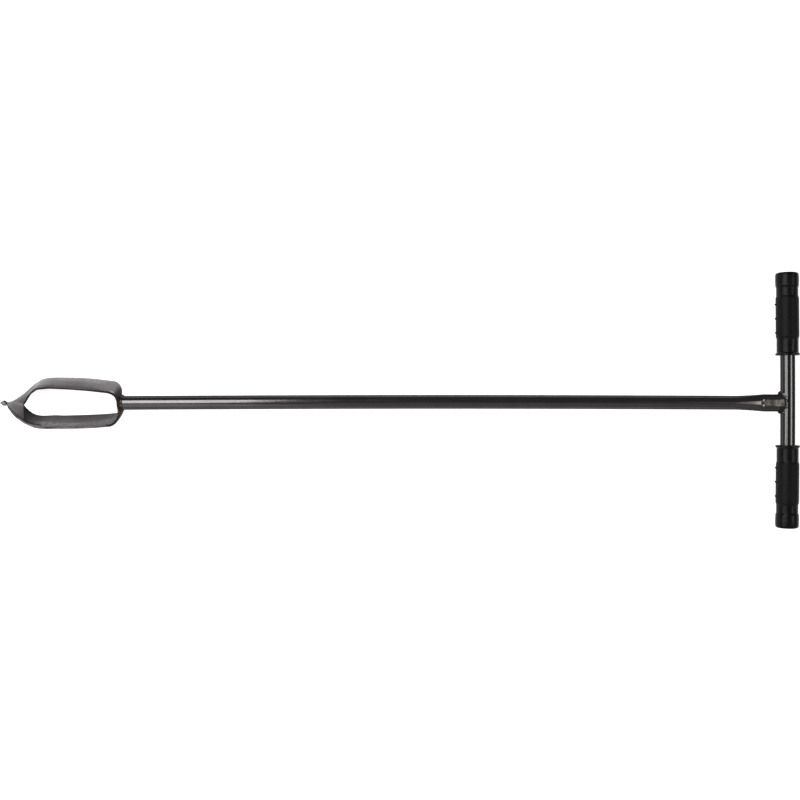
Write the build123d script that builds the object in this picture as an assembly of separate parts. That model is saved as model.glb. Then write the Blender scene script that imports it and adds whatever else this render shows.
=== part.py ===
from build123d import *
import math
import os

# Hand earth auger with two open blades, lying on its side.
# The shaft runs along X from the point (x = 0 while modelling) to the cross tube.
# Angles round the shaft are measured from +Z towards +Y.

# Shaft, in millimetres
SHAFT_DIAMETER = 22.0
SHAFT_WALL = 2.0
HANDLE_DISTANCE = 1247.0  # point of the tool to the axis of the cross tube
FLAT_THICKNESS = 11.0  # pressed end of the shaft, measured through the flats
FLAT_LENGTH = 39.0  # pressed end, measured back from the axis of the cross tube
FLARE_LENGTH = 44.0  # stretch over which the round tube becomes flat
FLARE_CROWN = 1.9  # how far the flare stands above the flat where the press die began

# Cross tube and grips
CROSS_DIAMETER = 22.0
CROSS_WALL = 2.0
CROSS_LENGTH = 396.0
CROSS_OFFSET = 4.2  # the bar was welded on a little off its middle
GRIP_LENGTH = 131.0
GRIP_FIT = 0.05  # radial room between grip and tube
GRIP_END_WALL = 4.0
GRIP_BODY_RADIUS = 17.4
GRIP_WAIST_DEPTH = 1.1  # how far the neck and the collar lie below the body
GRIP_BULB_HEIGHT = 0.25  # how far the bulb stands above the body
GRIP_END_ROUND = 4.0
GRIP_BULB_LENGTH = 22.0
GRIP_BULB_CROWN = 10.0  # widest place of the bulb, from the closed end
GRIP_NECK_LENGTH = 16.0
GRIP_COLLAR_LENGTH = 22.0
GRIP_STEP = 3.0  # length of the slope between two diameters
GRIP_FLANGE_HEIGHT = 0.8
GRIP_FLANGE_THICKNESS = 3.4
RIB_COUNT = 3
RIB_INSET = 9.0  # first rib, measured from the start of the grip's body
RIB_PITCH = 22.5
RIB_HEIGHT = 1.0
RIB_WIDTH = 2.4
RIB_CENTRE_ANGLE = 225.0  # round the bar, from +X towards +Z: the fingers' side
RIB_SPAN = 100.0

# Head
HEAD_RADIUS = 40.0
BLADE_THICKNESS = 4.0
SEAM_GAP = 0.02  # room left for the weld metal between the two halves of the spade
NECK_DISTANCE = 12.5  # point to the neck, where the spade begins
NECK_HALF_WIDTH = 3.4
NECK_THICKNESS = 4.6  # the spade is drawn out to a stout bar towards the point
CROTCH_DISTANCE = 37.9  # point to the fork between the blades, on the axis
LIP_DISTANCE = 50.2  # point to where the cutting lips reach full radius
BODY_DISTANCE = 90.0  # point to where the blades lie on the round body
YOKE_DISTANCE = 192.8  # point to the top face of the flanges that carry the shaft
BODY_TAPER = 4.7  # loss of radius from the body's start to the shoulder
SHOULDER_RADIUS = 17.6  # outside of the bend into the flange
FLANGE_CROWN_SHARE = 0.2  # share of the strip's crown that is left at that bend
HUB_RADIUS = 12.5  # round middle of the yoke, under the shaft
FLANGE_HALF_WIDTH = 7.6  # flange at the shaft's axis, where the two flanges meet
NECK_ANGLE = 168.0  # leading edge at the neck
LIP_ANGLE = 131.0  # leading edge where the lips reach full radius
LEAD_ANGLE = 98.5  # leading edge along the body
TRAIL_ANGLE = 35.0  # trailing edge at the body's start
TRAIL_ANGLE_TOP = 31.7  # trailing edge at the shoulder
LEAST_BULGE = 0.15  # crown of the strip where it is flat
LIP_EXPONENT = 0.85  # below 1, the cutting lips widen sooner behind the neck
CROTCH_EXPONENT = 0.83  # below 1, the fork opens sooner behind the crotch
LEAD_EXPONENT = 1.6  # above 1, the leading edge turns most just behind the lips
TRAIL_EXPONENT = 3.2  # above 1, the trailing edge turns most just behind the crotch
FLATTENING_EXPONENT = 4  # above 1, the strip is flattened only near the shoulder

# Screw point
POINT_HALF_WIDTH = 4.9
POINT_HALF_THICKNESS = 3.4
POINT_TWIST = 205.0  # turn of the point between the neck and its end
POINT_BELLY_SHARE = 0.5  # share of the point's length, from the neck, where it is widest
POINT_EXPONENT = 0.5  # below 1, the point stays thick nearly to its end
POINT_END_HALF = 0.25  # half of the blunt end's width

# Welds
HANDLE_WELD_RADIUS = 4.8
HANDLE_WELD_SIDE_COUNT = 10
WELD_LOBE_TOE = 3.9  # how far short of the cross tube's axis the lobes end
WELD_LOBE_RADIUS = 20.0
WELD_LOBE_HEIGHT = 2.2
YOKE_WELD_LEG = 3.0

SPADE_SECTION_COUNT = 6
FORK_SECTION_COUNT = 7
BODY_SECTION_COUNT = 4
POINT_SECTION_COUNT = 9


def lerp(start, end, share):
    return start + (end - start) * share


def sine_rise(share):
    return math.sin(math.radians(90.0 * share))


def spread(section, count):
    """Sections at even shares from 0 to 1."""
    return [section(index / (count - 1)) for index in range(count)]


def polar(x, radius, angle):
    """Point at a distance along the shaft, a radius from it and an angle round it."""
    turn = math.radians(angle)
    return Vector(x, radius * math.sin(turn), radius * math.cos(turn))


def across(x):
    """Plane square to the shaft, with Y to the right and Z up."""
    return Plane(origin=(x, 0, 0), x_dir=(0, 1, 0), z_dir=(1, 0, 0))


# Shaft tube

SHAFT_RADIUS = SHAFT_DIAMETER / 2
CROSS_RADIUS = CROSS_DIAMETER / 2
HALF_FLAT = math.pi * (SHAFT_DIAMETER - FLAT_THICKNESS) / 4  # pressing keeps the tube's girth
FLAT_START = HANDLE_DISTANCE - FLAT_LENGTH
FLARE_START = FLAT_START - FLARE_LENGTH


def round_outline(x, inset):
    """Circle in four arcs that match the four sides of the pressed outline."""
    radius = SHAFT_RADIUS - inset
    half = HALF_FLAT / SHAFT_RADIUS
    stops = [math.pi / 2 - half, math.pi / 2 + half, 3 * math.pi / 2 - half, 3 * math.pi / 2 + half]
    arcs = []
    for index, start in enumerate(stops):
        end = stops[(index + 1) % 4] + (2 * math.pi if index == 3 else 0)
        turns = [start, (start + end) / 2, end]
        arcs.append(ThreePointArc(*[(radius * math.cos(t), radius * math.sin(t)) for t in turns]))
    return across(x) * make_face(arcs)


def pressed_outline(x, inset, crown=0):
    """Outline of the tube pressed flat: two half rounds, and two sides that are straight or crowned."""
    half = FLAT_THICKNESS / 2 - inset
    start = (HALF_FLAT, half)
    end = (-HALF_FLAT, half)
    side = ThreePointArc(start, (0, half + crown), end) if crown else Line(start, end)
    sides = [
        side,
        ThreePointArc((-HALF_FLAT, half), (-HALF_FLAT - half, 0), (-HALF_FLAT, -half)),
        mirror(side, Plane.XZ),
        ThreePointArc((HALF_FLAT, -half), (HALF_FLAT + half, 0), (HALF_FLAT, half)),
    ]
    return across(x) * make_face(sides)


def shaft_body(inset, crown):
    """Solid of the shaft from the yoke to the cross tube's axis, set in by the wall for its bore."""
    straight = extrude(round_outline(YOKE_DISTANCE, inset), FLARE_START - YOKE_DISTANCE)
    flare = loft([round_outline(FLARE_START, inset), pressed_outline(FLAT_START, inset, crown)], ruled=True)
    flat = extrude(pressed_outline(FLAT_START, inset), FLAT_LENGTH)
    return straight + flare + flat


def bar(radius, length):
    """Round bar along the cross tube's axis."""
    place = Pos(HANDLE_DISTANCE, CROSS_OFFSET, 0) * Rot(X=90)
    return place * Cylinder(radius, length)


shaft_solid = shaft_body(0, FLARE_CROWN)
cross_solid = bar(CROSS_RADIUS, CROSS_LENGTH)
shaft_tube = shaft_solid - shaft_body(SHAFT_WALL, 0) - cross_solid
cross_tube = cross_solid - bar(CROSS_RADIUS - CROSS_WALL, CROSS_LENGTH)


# Weld round the pressed end of the shaft, with a lobe that laps each flank of the cross tube

def handle_bead():
    half = FLAT_THICKNESS / 2
    seam = HANDLE_DISTANCE - math.sqrt(CROSS_RADIUS**2 - half**2)
    path = across(seam) * SlotOverall(2 * (HALF_FLAT + half), 2 * half).wire()
    section = Plane(origin=path @ 0, z_dir=path % 0) * RegularPolygon(HANDLE_WELD_RADIUS, HANDLE_WELD_SIDE_COUNT)
    bead = sweep(section, path)
    lobe_centre = HANDLE_DISTANCE - WELD_LOBE_TOE - WELD_LOBE_RADIUS
    lobes = Pos(lobe_centre, 0, 0) * Cylinder(WELD_LOBE_RADIUS, CROSS_DIAMETER * 2)
    lobes &= bar(CROSS_RADIUS + WELD_LOBE_HEIGHT, CROSS_DIAMETER * 2)
    return bead + lobes - shaft_solid - cross_solid


handle_weld = handle_bead()


# Grips

def grip_profile():
    """Half outline of a grip: distance from its outer end, and radius."""
    body = GRIP_BODY_RADIUS
    waist = body - GRIP_WAIST_DEPTH
    bulb = body + GRIP_BULB_HEIGHT
    bore = CROSS_RADIUS + GRIP_FIT
    flange_start = GRIP_LENGTH - GRIP_FLANGE_THICKNESS
    neck_start = GRIP_BULB_LENGTH + GRIP_STEP
    neck_end = neck_start + GRIP_NECK_LENGTH - GRIP_STEP
    collar_start = flange_start - GRIP_COLLAR_LENGTH + GRIP_STEP
    corner = GRIP_END_ROUND * (1 - math.sqrt(0.5))
    end_round = ThreePointArc((0, body - GRIP_END_ROUND), (corner, body - corner), (GRIP_END_ROUND, body))
    crown = ThreePointArc((GRIP_END_ROUND, body), (GRIP_BULB_CROWN, bulb), (GRIP_BULB_LENGTH, body))
    rest = Polyline(
        (GRIP_BULB_LENGTH, body),
        (neck_start, waist),
        (neck_end, waist),
        (neck_end + GRIP_STEP, body),
        (collar_start - GRIP_STEP, body),
        (collar_start, waist),
        (flange_start, waist),
        (flange_start, body + GRIP_FLANGE_HEIGHT),
        (GRIP_LENGTH, body + GRIP_FLANGE_HEIGHT),
        (GRIP_LENGTH, bore),
        (GRIP_END_WALL, bore),
        (GRIP_END_WALL, 0),
        (0, 0),
        (0, body - GRIP_END_ROUND),
    )
    return make_face([end_round, crown, rest])


def finger_rib(distance):
    """Low rib with sloped flanks on the fingers' side of a grip."""
    body = GRIP_BODY_RADIUS
    half = RIB_WIDTH / 2
    profile = Polyline(
        (distance - half, body),
        (distance - half / 3, body + RIB_HEIGHT),
        (distance + half / 3, body + RIB_HEIGHT),
        (distance + half, body),
        (distance + half, body - RIB_HEIGHT),
        (distance - half, body - RIB_HEIGHT),
        close=True,
    )
    rib = revolve(make_face(profile), Axis.X, RIB_SPAN)
    return Rot(X=-RIB_SPAN / 2) * rib


def make_grip():
    """Grip along +X from its closed end, with its ribs centred on its own +Y side."""
    body_start = GRIP_BULB_LENGTH + GRIP_NECK_LENGTH + GRIP_STEP
    grip = revolve(grip_profile(), Axis.X)
    for index in range(RIB_COUNT):
        grip += finger_rib(body_start + RIB_INSET + index * RIB_PITCH)
    return grip


def place_grip(side):
    """Set a grip on the end of the cross tube: side is +1 at the top of the T seen from +Z, or -1."""
    end = CROSS_OFFSET + side * (CROSS_LENGTH / 2 + GRIP_END_WALL)
    turn = math.radians(RIB_CENTRE_ANGLE)
    outward = Vector(math.cos(turn), 0, math.sin(turn))
    inward = Vector(0, -side, 0)
    seat = Plane(origin=(HANDLE_DISTANCE, end, 0), x_dir=inward, z_dir=inward.cross(outward))
    return seat * make_grip()


upper_grip = place_grip(1)
lower_grip = place_grip(-1)


# Blades

HALF_BLADE = BLADE_THICKNESS / 2
BODY_END = YOKE_DISTANCE - SHOULDER_RADIUS
MIDDLE_ANGLE = (LEAD_ANGLE + TRAIL_ANGLE_TOP) / 2


def body_radius(x):
    """Radius of the middle of the strip along the round body."""
    share = (x - BODY_DISTANCE) / (BODY_END - BODY_DISTANCE)
    return HEAD_RADIUS - BODY_TAPER * share**2 - HALF_BLADE


def arc_rise(radius, angle):
    """Height of an arc over its chord."""
    return radius * (1 - math.cos(math.radians(angle / 2)))


def strip_section(lead, trail, bulge, thickness):
    """Cross-section of the strip from its leading to its trailing edge, crowned away from the shaft."""
    chord = trail - lead
    along = chord.normalized()
    outward = Vector(0, along.Z, -along.Y).normalized()
    plane = Plane(origin=lead, x_dir=along, z_dir=along.cross(outward))
    width = chord.length
    radius = (width**2 / 4 + bulge**2) / (2 * bulge)
    half_turn = math.asin(width / (2 * radius))
    depth = bulge - radius

    def on_arc(offset, share):
        reach = radius + offset
        turn = half_turn * share
        return (width / 2 + reach * math.sin(turn), depth + reach * math.cos(turn))

    outer = ThreePointArc(*[on_arc(thickness / 2, share) for share in (-1, 0, 1)])
    inner = ThreePointArc(*[on_arc(-thickness / 2, share) for share in (1, 0, -1)])
    trail_end = Line(outer @ 1, inner @ 0)
    lead_end = Line(inner @ 1, outer @ 0)
    return plane * make_face([outer, trail_end, inner, lead_end])


def spade_section(share):
    """Half of the twisted spade, from its cutting edge to the seam on the axis."""
    angle = lerp(NECK_ANGLE, LIP_ANGLE, share)
    radius = lerp(NECK_HALF_WIDTH, HEAD_RADIUS, sine_rise(share**LIP_EXPONENT))
    lead = polar(lerp(NECK_DISTANCE, LIP_DISTANCE, share), radius, angle)
    seam = polar(lerp(NECK_DISTANCE, CROTCH_DISTANCE, share), SEAM_GAP / 2, angle)
    return strip_section(lead, seam, LEAST_BULGE, lerp(NECK_THICKNESS, BLADE_THICKNESS, share))


def fork_section(share):
    """Strip on its way from the spade to the round body: its inner edge swings out from the axis."""
    radius = body_radius(BODY_DISTANCE)
    lead = polar(
        lerp(LIP_DISTANCE, BODY_DISTANCE, share),
        lerp(HEAD_RADIUS, radius, share),
        lerp(LEAD_ANGLE, LIP_ANGLE, (1 - share) ** LEAD_EXPONENT),
    )
    trail = polar(
        lerp(CROTCH_DISTANCE, BODY_DISTANCE, share),
        lerp(SEAM_GAP / 2, radius, sine_rise(share**CROTCH_EXPONENT)),
        lerp(TRAIL_ANGLE, LIP_ANGLE, (1 - share) ** TRAIL_EXPONENT),
    )
    bulge = lerp(LEAST_BULGE, arc_rise(radius, LEAD_ANGLE - TRAIL_ANGLE), share)
    return strip_section(lead, trail, bulge, BLADE_THICKNESS)


def trail_angle(share):
    """Trailing edge along the round body, from its start to the shoulder."""
    return lerp(TRAIL_ANGLE, TRAIL_ANGLE_TOP, share**2)


def strip_crown(share):
    """Crown of the strip along the round body, pressed nearly flat at the shoulder."""
    radius = body_radius(lerp(BODY_DISTANCE, BODY_END, share))
    return arc_rise(radius, LEAD_ANGLE - trail_angle(share)) * lerp(1, FLANGE_CROWN_SHARE, share**FLATTENING_EXPONENT)


def body_section(share):
    """Strip on the round body, square to the shaft."""
    x = lerp(BODY_DISTANCE, BODY_END, share)
    lead = polar(x, body_radius(x), LEAD_ANGLE)
    trail = polar(x, body_radius(x), trail_angle(share))
    return strip_section(lead, trail, strip_crown(share), BLADE_THICKNESS)


def bent_flange():
    """Straight press bend at the top of the strip, and the flange under the shaft, tapered to the hub."""
    outward = polar(0, 1, MIDDLE_ANGLE)
    sideways = outward.cross(Vector(1, 0, 0))
    half_chord = body_radius(BODY_END) * math.sin(math.radians(LEAD_ANGLE - MIDDLE_ANGLE))
    chord_reach = body_radius(BODY_END) * math.cos(math.radians(LEAD_ANGLE - MIDDLE_ANGLE))
    outside = chord_reach + strip_crown(1) + HALF_BLADE
    centre = outside - SHOULDER_RADIUS
    bend_axis = Axis(Vector(BODY_END, 0, 0) + outward * centre, sideways)
    section = body_section(1)
    bend = revolve(section, bend_axis, 90)
    flange = extrude(section.rotate(bend_axis, 90), centre, dir=-outward)
    plan = Plane(origin=(BODY_END, 0, 0), x_dir=sideways, z_dir=(1, 0, 0))
    corners = [
        (-FLANGE_HALF_WIDTH, 0),
        (FLANGE_HALF_WIDTH, 0),
        (half_chord + HALF_BLADE, outside),
        (-half_chord - HALF_BLADE, outside),
    ]
    taper = extrude(plan * make_face(Polyline(*corners, close=True)), SHOULDER_RADIUS)
    return (bend + flange) & taper


def half_hub():
    """Half of the yoke's round middle, on the blade's own side of the axis."""
    disc = extrude(across(YOKE_DISTANCE - BLADE_THICKNESS) * Circle(HUB_RADIUS), BLADE_THICKNESS)
    cut = Box(4 * BLADE_THICKNESS, 2 * HUB_RADIUS, 4 * HUB_RADIUS, align=(Align.CENTER, Align.MAX, Align.CENTER))
    return disc - Pos(YOKE_DISTANCE, 0, 0) * Rot(X=90 - MIDDLE_ANGLE) * cut


def make_blade():
    spade = loft(spread(spade_section, SPADE_SECTION_COUNT))
    fork = loft(spread(fork_section, FORK_SECTION_COUNT))
    body = loft(spread(body_section, BODY_SECTION_COUNT))
    return spade + fork + body + bent_flange() + half_hub()


upper_blade = make_blade()
lower_blade = Rot(X=180) * upper_blade


# Screw point: a small six-sided bud of steel twisted right-handed, ending in a sharp tip

def point_section(share):
    """Share 0 is the neck and share 1 the tip."""
    belly = sine_rise(min(2.0, share / POINT_BELLY_SHARE))
    fade = sine_rise(1 - share) ** POINT_EXPONENT
    half_width = POINT_END_HALF + lerp(NECK_HALF_WIDTH, POINT_HALF_WIDTH, belly) * fade
    half_thickness = POINT_END_HALF + lerp(NECK_THICKNESS / 2, POINT_HALF_THICKNESS, belly) * fade
    turn = 90.0 - (NECK_ANGLE + POINT_TWIST * share)
    corners = [
        (-half_width, 0),
        (-half_width / 2, half_thickness),
        (half_width / 2, half_thickness),
        (half_width, 0),
        (half_width / 2, -half_thickness),
        (-half_width / 2, -half_thickness),
    ]
    return across(NECK_DISTANCE * (1 - share)) * Rot(Z=turn) * make_face(Polyline(*corners, close=True))


screw_point = loft(spread(point_section, POINT_SECTION_COUNT), ruled=True)


# Weld round the lower end of the shaft, on the yoke

def yoke_bead():
    """Straight fillet: one leg along the shaft, one on the yoke's face."""
    corners = [
        (YOKE_DISTANCE, SHAFT_RADIUS),
        (YOKE_DISTANCE + YOKE_WELD_LEG, SHAFT_RADIUS),
        (YOKE_DISTANCE, SHAFT_RADIUS + YOKE_WELD_LEG),
    ]
    return revolve(make_face(Polyline(*corners, close=True)), Axis.X)


yoke_weld = yoke_bead()


# Set the tool on its lowest point, with the origin under the middle of its length

nodes = {
    "shaft_tube": shaft_tube,
    "cross_tube": cross_tube,
    "upper_grip": upper_grip,
    "lower_grip": lower_grip,
    "handle_weld": handle_weld,
    "upper_blade": upper_blade,
    "lower_blade": lower_blade,
    "screw_point": screw_point,
    "yoke_weld": yoke_weld,
}

whole = Compound(children=[Compound(node.wrapped) for node in nodes.values()])
reach = whole.bounding_box()
seat = Pos(-(reach.min.X + reach.max.X) / 2, 0, -reach.min.Z)

os.makedirs("parts", exist_ok=True)
for name, node in nodes.items():
    export_step(seat * node, f"parts/{name}.step")
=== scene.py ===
"""Looks of a hand earth auger that lies on a pale floor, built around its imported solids."""

import math
from collections import namedtuple

import bmesh
import bpy
from mathutils import Matrix, Vector, noise


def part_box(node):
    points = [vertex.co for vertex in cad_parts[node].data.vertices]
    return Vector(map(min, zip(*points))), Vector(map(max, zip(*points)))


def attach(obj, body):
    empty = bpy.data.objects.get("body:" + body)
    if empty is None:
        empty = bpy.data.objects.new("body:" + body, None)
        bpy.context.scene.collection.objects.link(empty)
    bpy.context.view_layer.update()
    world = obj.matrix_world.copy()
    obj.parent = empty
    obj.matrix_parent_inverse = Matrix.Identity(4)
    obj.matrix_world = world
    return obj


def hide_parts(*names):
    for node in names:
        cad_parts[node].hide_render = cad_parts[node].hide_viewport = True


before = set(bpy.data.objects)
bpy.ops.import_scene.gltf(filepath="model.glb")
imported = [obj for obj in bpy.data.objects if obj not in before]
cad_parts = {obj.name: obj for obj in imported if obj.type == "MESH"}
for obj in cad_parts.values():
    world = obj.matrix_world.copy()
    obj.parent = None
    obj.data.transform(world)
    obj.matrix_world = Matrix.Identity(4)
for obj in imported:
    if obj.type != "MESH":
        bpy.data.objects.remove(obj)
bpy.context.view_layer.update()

MM = 0.001


def middle_of(node):
    low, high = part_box(node)
    return (low + high) / 2


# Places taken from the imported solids, in metres
POINT_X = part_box("screw_point")[0].x
AXIS_Z = middle_of("cross_tube").z
HANDLE = middle_of("cross_tube")
BAR_LOW, BAR_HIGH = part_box("cross_tube")

# Shaft and cross tube, in millimetres from the point and from the shaft's axis
TUBE_RADIUS = (BAR_HIGH.x - BAR_LOW.x) / 2 / MM
TUBE_WALL = 2.0
HANDLE_DISTANCE = (HANDLE.x - POINT_X) / MM
HANDLE_OFFSET = HANDLE.y / MM
BAR_HALF_LENGTH = (BAR_HIGH.y - BAR_LOW.y) / 2 / MM
WELD_DRAW = 1.3  # bow of the cross tube, drawn by its weld
SHAFT_BOW = 1.65  # bow of the shaft towards the upper grip's side
FLAT_HALF_THICKNESS = 5.5
FLAT_HALF_WIDTH = math.pi * (TUBE_RADIUS - FLAT_HALF_THICKNESS) / 2  # pressing keeps the tube's girth
FLAT_LENGTH = 39.0
FLARE_LENGTH = 44.0
FLAT_START = HANDLE_DISTANCE - FLAT_LENGTH
FLARE_START = FLAT_START - FLARE_LENGTH
FLARE_CROWN = 0.8  # how far the flare stays crowned where the die's flat begins
DIE_HALF_WIDTH = 6.0
DIE_EDGE = 4.0  # length of the step down to the die's flat
DIE_ARCH = 2.2  # how far the step bows towards the point
EYE_ARCH = 1.2  # how far the bare line behind it bows towards the handle; the line is also a painted highlight
DIE_LINE_WIDTH = 0.7
FLAT_ROLL = 0.5  # how far the flat falls off towards its rounds
FLAT_ROLL_START = 3.5  # where that fall begins, from the middle of the flat
FLARE_EXPONENT = 1.5  # above 1, the tube flattens slowly at first
PIT_DEPTH = 0.6  # small oval pit that the die's pin left
PIT_INSET = 1.8  # middle of the pit, before the flat
PIT_LENGTH = 1.3
PIT_WIDTH = 2.2
DIE_BEFORE = 7.0  # stretch before the flat that gets close rings
DIE_AFTER = 4.0  # and the stretch behind its start
TUBE_STEPS = 128

# Head
BLADE_THICKNESS = 4.0
HALF_BLADE = BLADE_THICKNESS / 2
EDGE_ROUND = 0.9
SEAM_GAP = 0.02
NECK_DISTANCE = 12.5
NECK_HALF_WIDTH = 3.4
NECK_THICKNESS = 4.6
CROTCH_DISTANCE = 37.5
LIP_DISTANCE = 50.2
LIP_RADIUS = 42.1
SWELL_LENGTH = 12.0  # stretch over which a cutting lip is hammered out
BODY_DISTANCE = 90.0
YOKE_DISTANCE = 192.8
FLANGE_CROWN_SHARE = 0.2
HUB_RADIUS = 12.5
FLANGE_HALF_WIDTH = 7.6
NECK_ANGLE = 168.0
LIP_ANGLE = 131.0
LEAD_ANGLE = 98.5
TRAIL_ANGLE_TOP = 29.2
MIDDLE_ANGLE = (LEAD_ANGLE + TRAIL_ANGLE_TOP) / 2
FLAT_BULGE = 0.02
LIP_EXPONENT = 0.83  # below 1, the cutting lips widen sooner behind the neck
CROTCH_EXPONENT = 0.88  # below 1, the fork opens sooner behind the crotch
LEAD_EXPONENT = 1.6  # above 1, the leading edge turns most just behind the lips
TRAIL_EXPONENT = 3.05  # above 1, the trailing edge turns most just behind the crotch
TAPER_EXPONENT = 2.6  # above 1, the blades draw in most towards the shoulder
FLATTENING_EXPONENT = 4  # above 1, the strip is flattened only near the shoulder
HOLLOW_EXPONENT = 8  # above 1, the fork's hollow fades only near the body
CROTCH_EDGE_RATE = 5  # how soon the trailing edge has its full rounding
FORGING_SEED = 1  # keeps the waves the same in every run
FORGING_UNEVENNESS = 0.14
FORGING_WAVE = 0.045  # waves of the forging, per millimetre
FORGING_DENT = 0.16  # and the smaller dents on them
FORGING_DENT_SHARE = 0.35
NECK_KINK = 1.65  # how far the neck was knocked to one side
NECK_KINK_DISTANCE = 15.5
NECK_KINK_LENGTH = 5.5
SPADE_LIFT = 0.9  # how far the spade was knocked the other way
SPADE_LIFT_DISTANCE = 39.0
SPADE_LIFT_LENGTH = 10.0
CROTCH_SAG = 2.9  # how far the crotch lies off the middle of the spade
CROTCH_SAG_DISTANCE = 39.0
CROTCH_SAG_REACH = 8.5

# What the forging by hand made different from one blade to the other
Forging = namedtuple(
    "Forging", "radius taper trail_angle shoulder swell swell_distance hollow hollow_share hollow_length"
)
UPPER = Forging(
    radius=40.5,
    taper=4.8,
    trail_angle=36.2,
    shoulder=16.6,
    swell=1.5,
    swell_distance=50.0,
    hollow=2.6,
    hollow_share=0.36,
    hollow_length=0.15,
)
LOWER = Forging(
    radius=41.2,
    taper=2.4,
    trail_angle=32.3,
    shoulder=22.5,
    swell=0.9,
    swell_distance=62.0,
    hollow=-1.2,
    hollow_share=0.5,
    hollow_length=0.3,
)

# Marks on the blades: places as shares along a stretch or across it from the leading edge, and strengths
SHADE_BORDER = 0.87  # start of the painted shade along the trailing edge
GROUND_WIDTH = 0.62  # ground strip along the leading edge, on both faces
LIP_LINE = 0.115  # dark line inside the lip, along the spade
LIP_LINE_WIDTH = 0.05
FORK_LINE = 0.21  # the same line, where it fades along the fork
FORK_LINE_WIDTH = 0.09
RIM_START = 0.66  # where the lip's bright rim begins, along the spade; the rim is partly rubbed metal and partly a painted highlight
RIM_RISE = 0.2
BODY_SHADE = 0.36  # painted shade inside the blades, at the start of the body and at the bend
BEND_SHADE = 0.68
BURNT_SOOT = 0.95  # outside, on the flange by the weld
LEAD_EDGE_SHADE = 0.62  # painted shade on the leading edge's face
EDGE_SCALE_AND_SHADE = 0.9  # scale along the screw point's edges, and a dark scale on the trailing edge that is also painted shade

# Screw point
POINT_HALF_WIDTH = 4.9
POINT_HALF_THICKNESS = 3.4
POINT_TWIST = 205.0
POINT_BELLY_SHARE = 0.5
POINT_EXPONENT = 0.5
POINT_END_HALF = 0.25
POINT_RINGS = 60
POINT_STEPS = 48
POINT_PINCH = 0.03  # makes its section slightly six-sided
POINT_UNEVENNESS = 0.1

# Grips
GRIP_LENGTH = 131.0
GRIP_FIT = 0.05
GRIP_BORE = TUBE_RADIUS + GRIP_FIT
GRIP_END_WALL = 4.0
GRIP_CENTRE = 0.4  # radius of the small flat in the middle of the closed end
GRIP_BODY_RADIUS = 17.4
GRIP_WAIST_RADIUS = 16.3
GRIP_BULB_RADIUS = 17.65
GRIP_FLANGE_RADIUS = 18.2
GRIP_FLANGE_THICKNESS = 3.4
GRIP_BULB_CROWN = 10.0  # distances from the closed end
GRIP_BULB_END = 21.0
GRIP_NECK_START = 24.5
GRIP_NECK_END = 37.0
GRIP_BODY_START = 40.5
GRIP_BODY_END = 101.0
GRIP_COLLAR_START = 105.0
GRIP_STEPS = 144
GRIP_GIRTH_RING = 40  # a ring on the outside, for the lengths round the grip
GRIP_SHARP = 50.0  # degrees from which an edge stays sharp
GRIP_RIBBED_STEP = 0.45  # distance between rings on the outside
GRIP_PLAIN_STEP = 6.0  # and elsewhere
CORNER_STEPS = 7
CORNER_SHARE = 0.49  # most of a side that a corner's rounding takes
RIB_DISTANCES = (50.0, 72.5, 95.0)
RIB_HEIGHT = 1.6
RIB_WIDTH = 2.6
RIB_CENTRE_ANGLE = 225.0
RIB_HALF_SPAN = 50.0
RIB_RUN_OUT = 6.0  # degrees over which a rib ends
GLOSS_START = 39.0  # the grained stretch between the two glossy ones
GLOSS_END = 102.0
GLOSS_FADE = 3.0

# Welds
WELD_RIPPLE = 3.1  # distance from one ripple of a weld to the next
BEAD_STEPS = 14
BEAD_SEED = 3.0
BEAD_RELIEF = 0.22  # height of the ripples, as a share of the bead
BEAD_ROOT = 0.25  # how far the bead reaches in behind its seam, as a share
BEAD_SHARP = 60.0  # degrees from which an edge stays sharp
TOE_LIFT = 0.05  # how far a toe stands off the surface under it
HANDLE_SECTION = 20.0  # where the pressed end's section is taken, behind the flat's start
HANDLE_FULLNESS = 0.75
HANDLE_LEG_ROUND = 4.2  # reach along the shaft, at its rounds and on its flats
HANDLE_LEG_FLAT = 5.4
HANDLE_TOE_ROUND = 4.4  # reach along the cross tube, at the same places
HANDLE_TOE_FLAT = 7.6
HANDLE_TOE_LEAN = 0.07  # how much more that is at one round than at the other, per millimetre
HANDLE_TOE_LIFT = 0.08
HANDLE_FLANK_EXPONENT = 2.5
YOKE_FULLNESS = 0.6
YOKE_LEG = 3.5
YOKE_TOE = 2.4
YOKE_WEAR = 0.45
YOKE_STEPS = 180


def lerp(start, end, share):
    return start + (end - start) * share


def sine_rise(share):
    return math.sin(math.radians(90.0 * share))


def smooth(share):
    share = min(1.0, max(0.0, share))
    return share * share * (3 - 2 * share)


def bell(offset, width):
    return math.exp(-((offset / width) ** 2))


def spread(count):
    return [index / (count - 1) for index in range(count)]


def polar(x, radius, angle):
    """Point at a distance along the shaft, a radius from it and an angle from +Z towards +Y."""
    turn = math.radians(angle)
    return Vector((x, radius * math.sin(turn), radius * math.cos(turn)))


def to_frame(point):
    """From millimetres along and round the shaft to the frame."""
    return Vector((POINT_X + point.x * MM, point.y * MM, AXIS_Z + point.z * MM))


# Meshes

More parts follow.
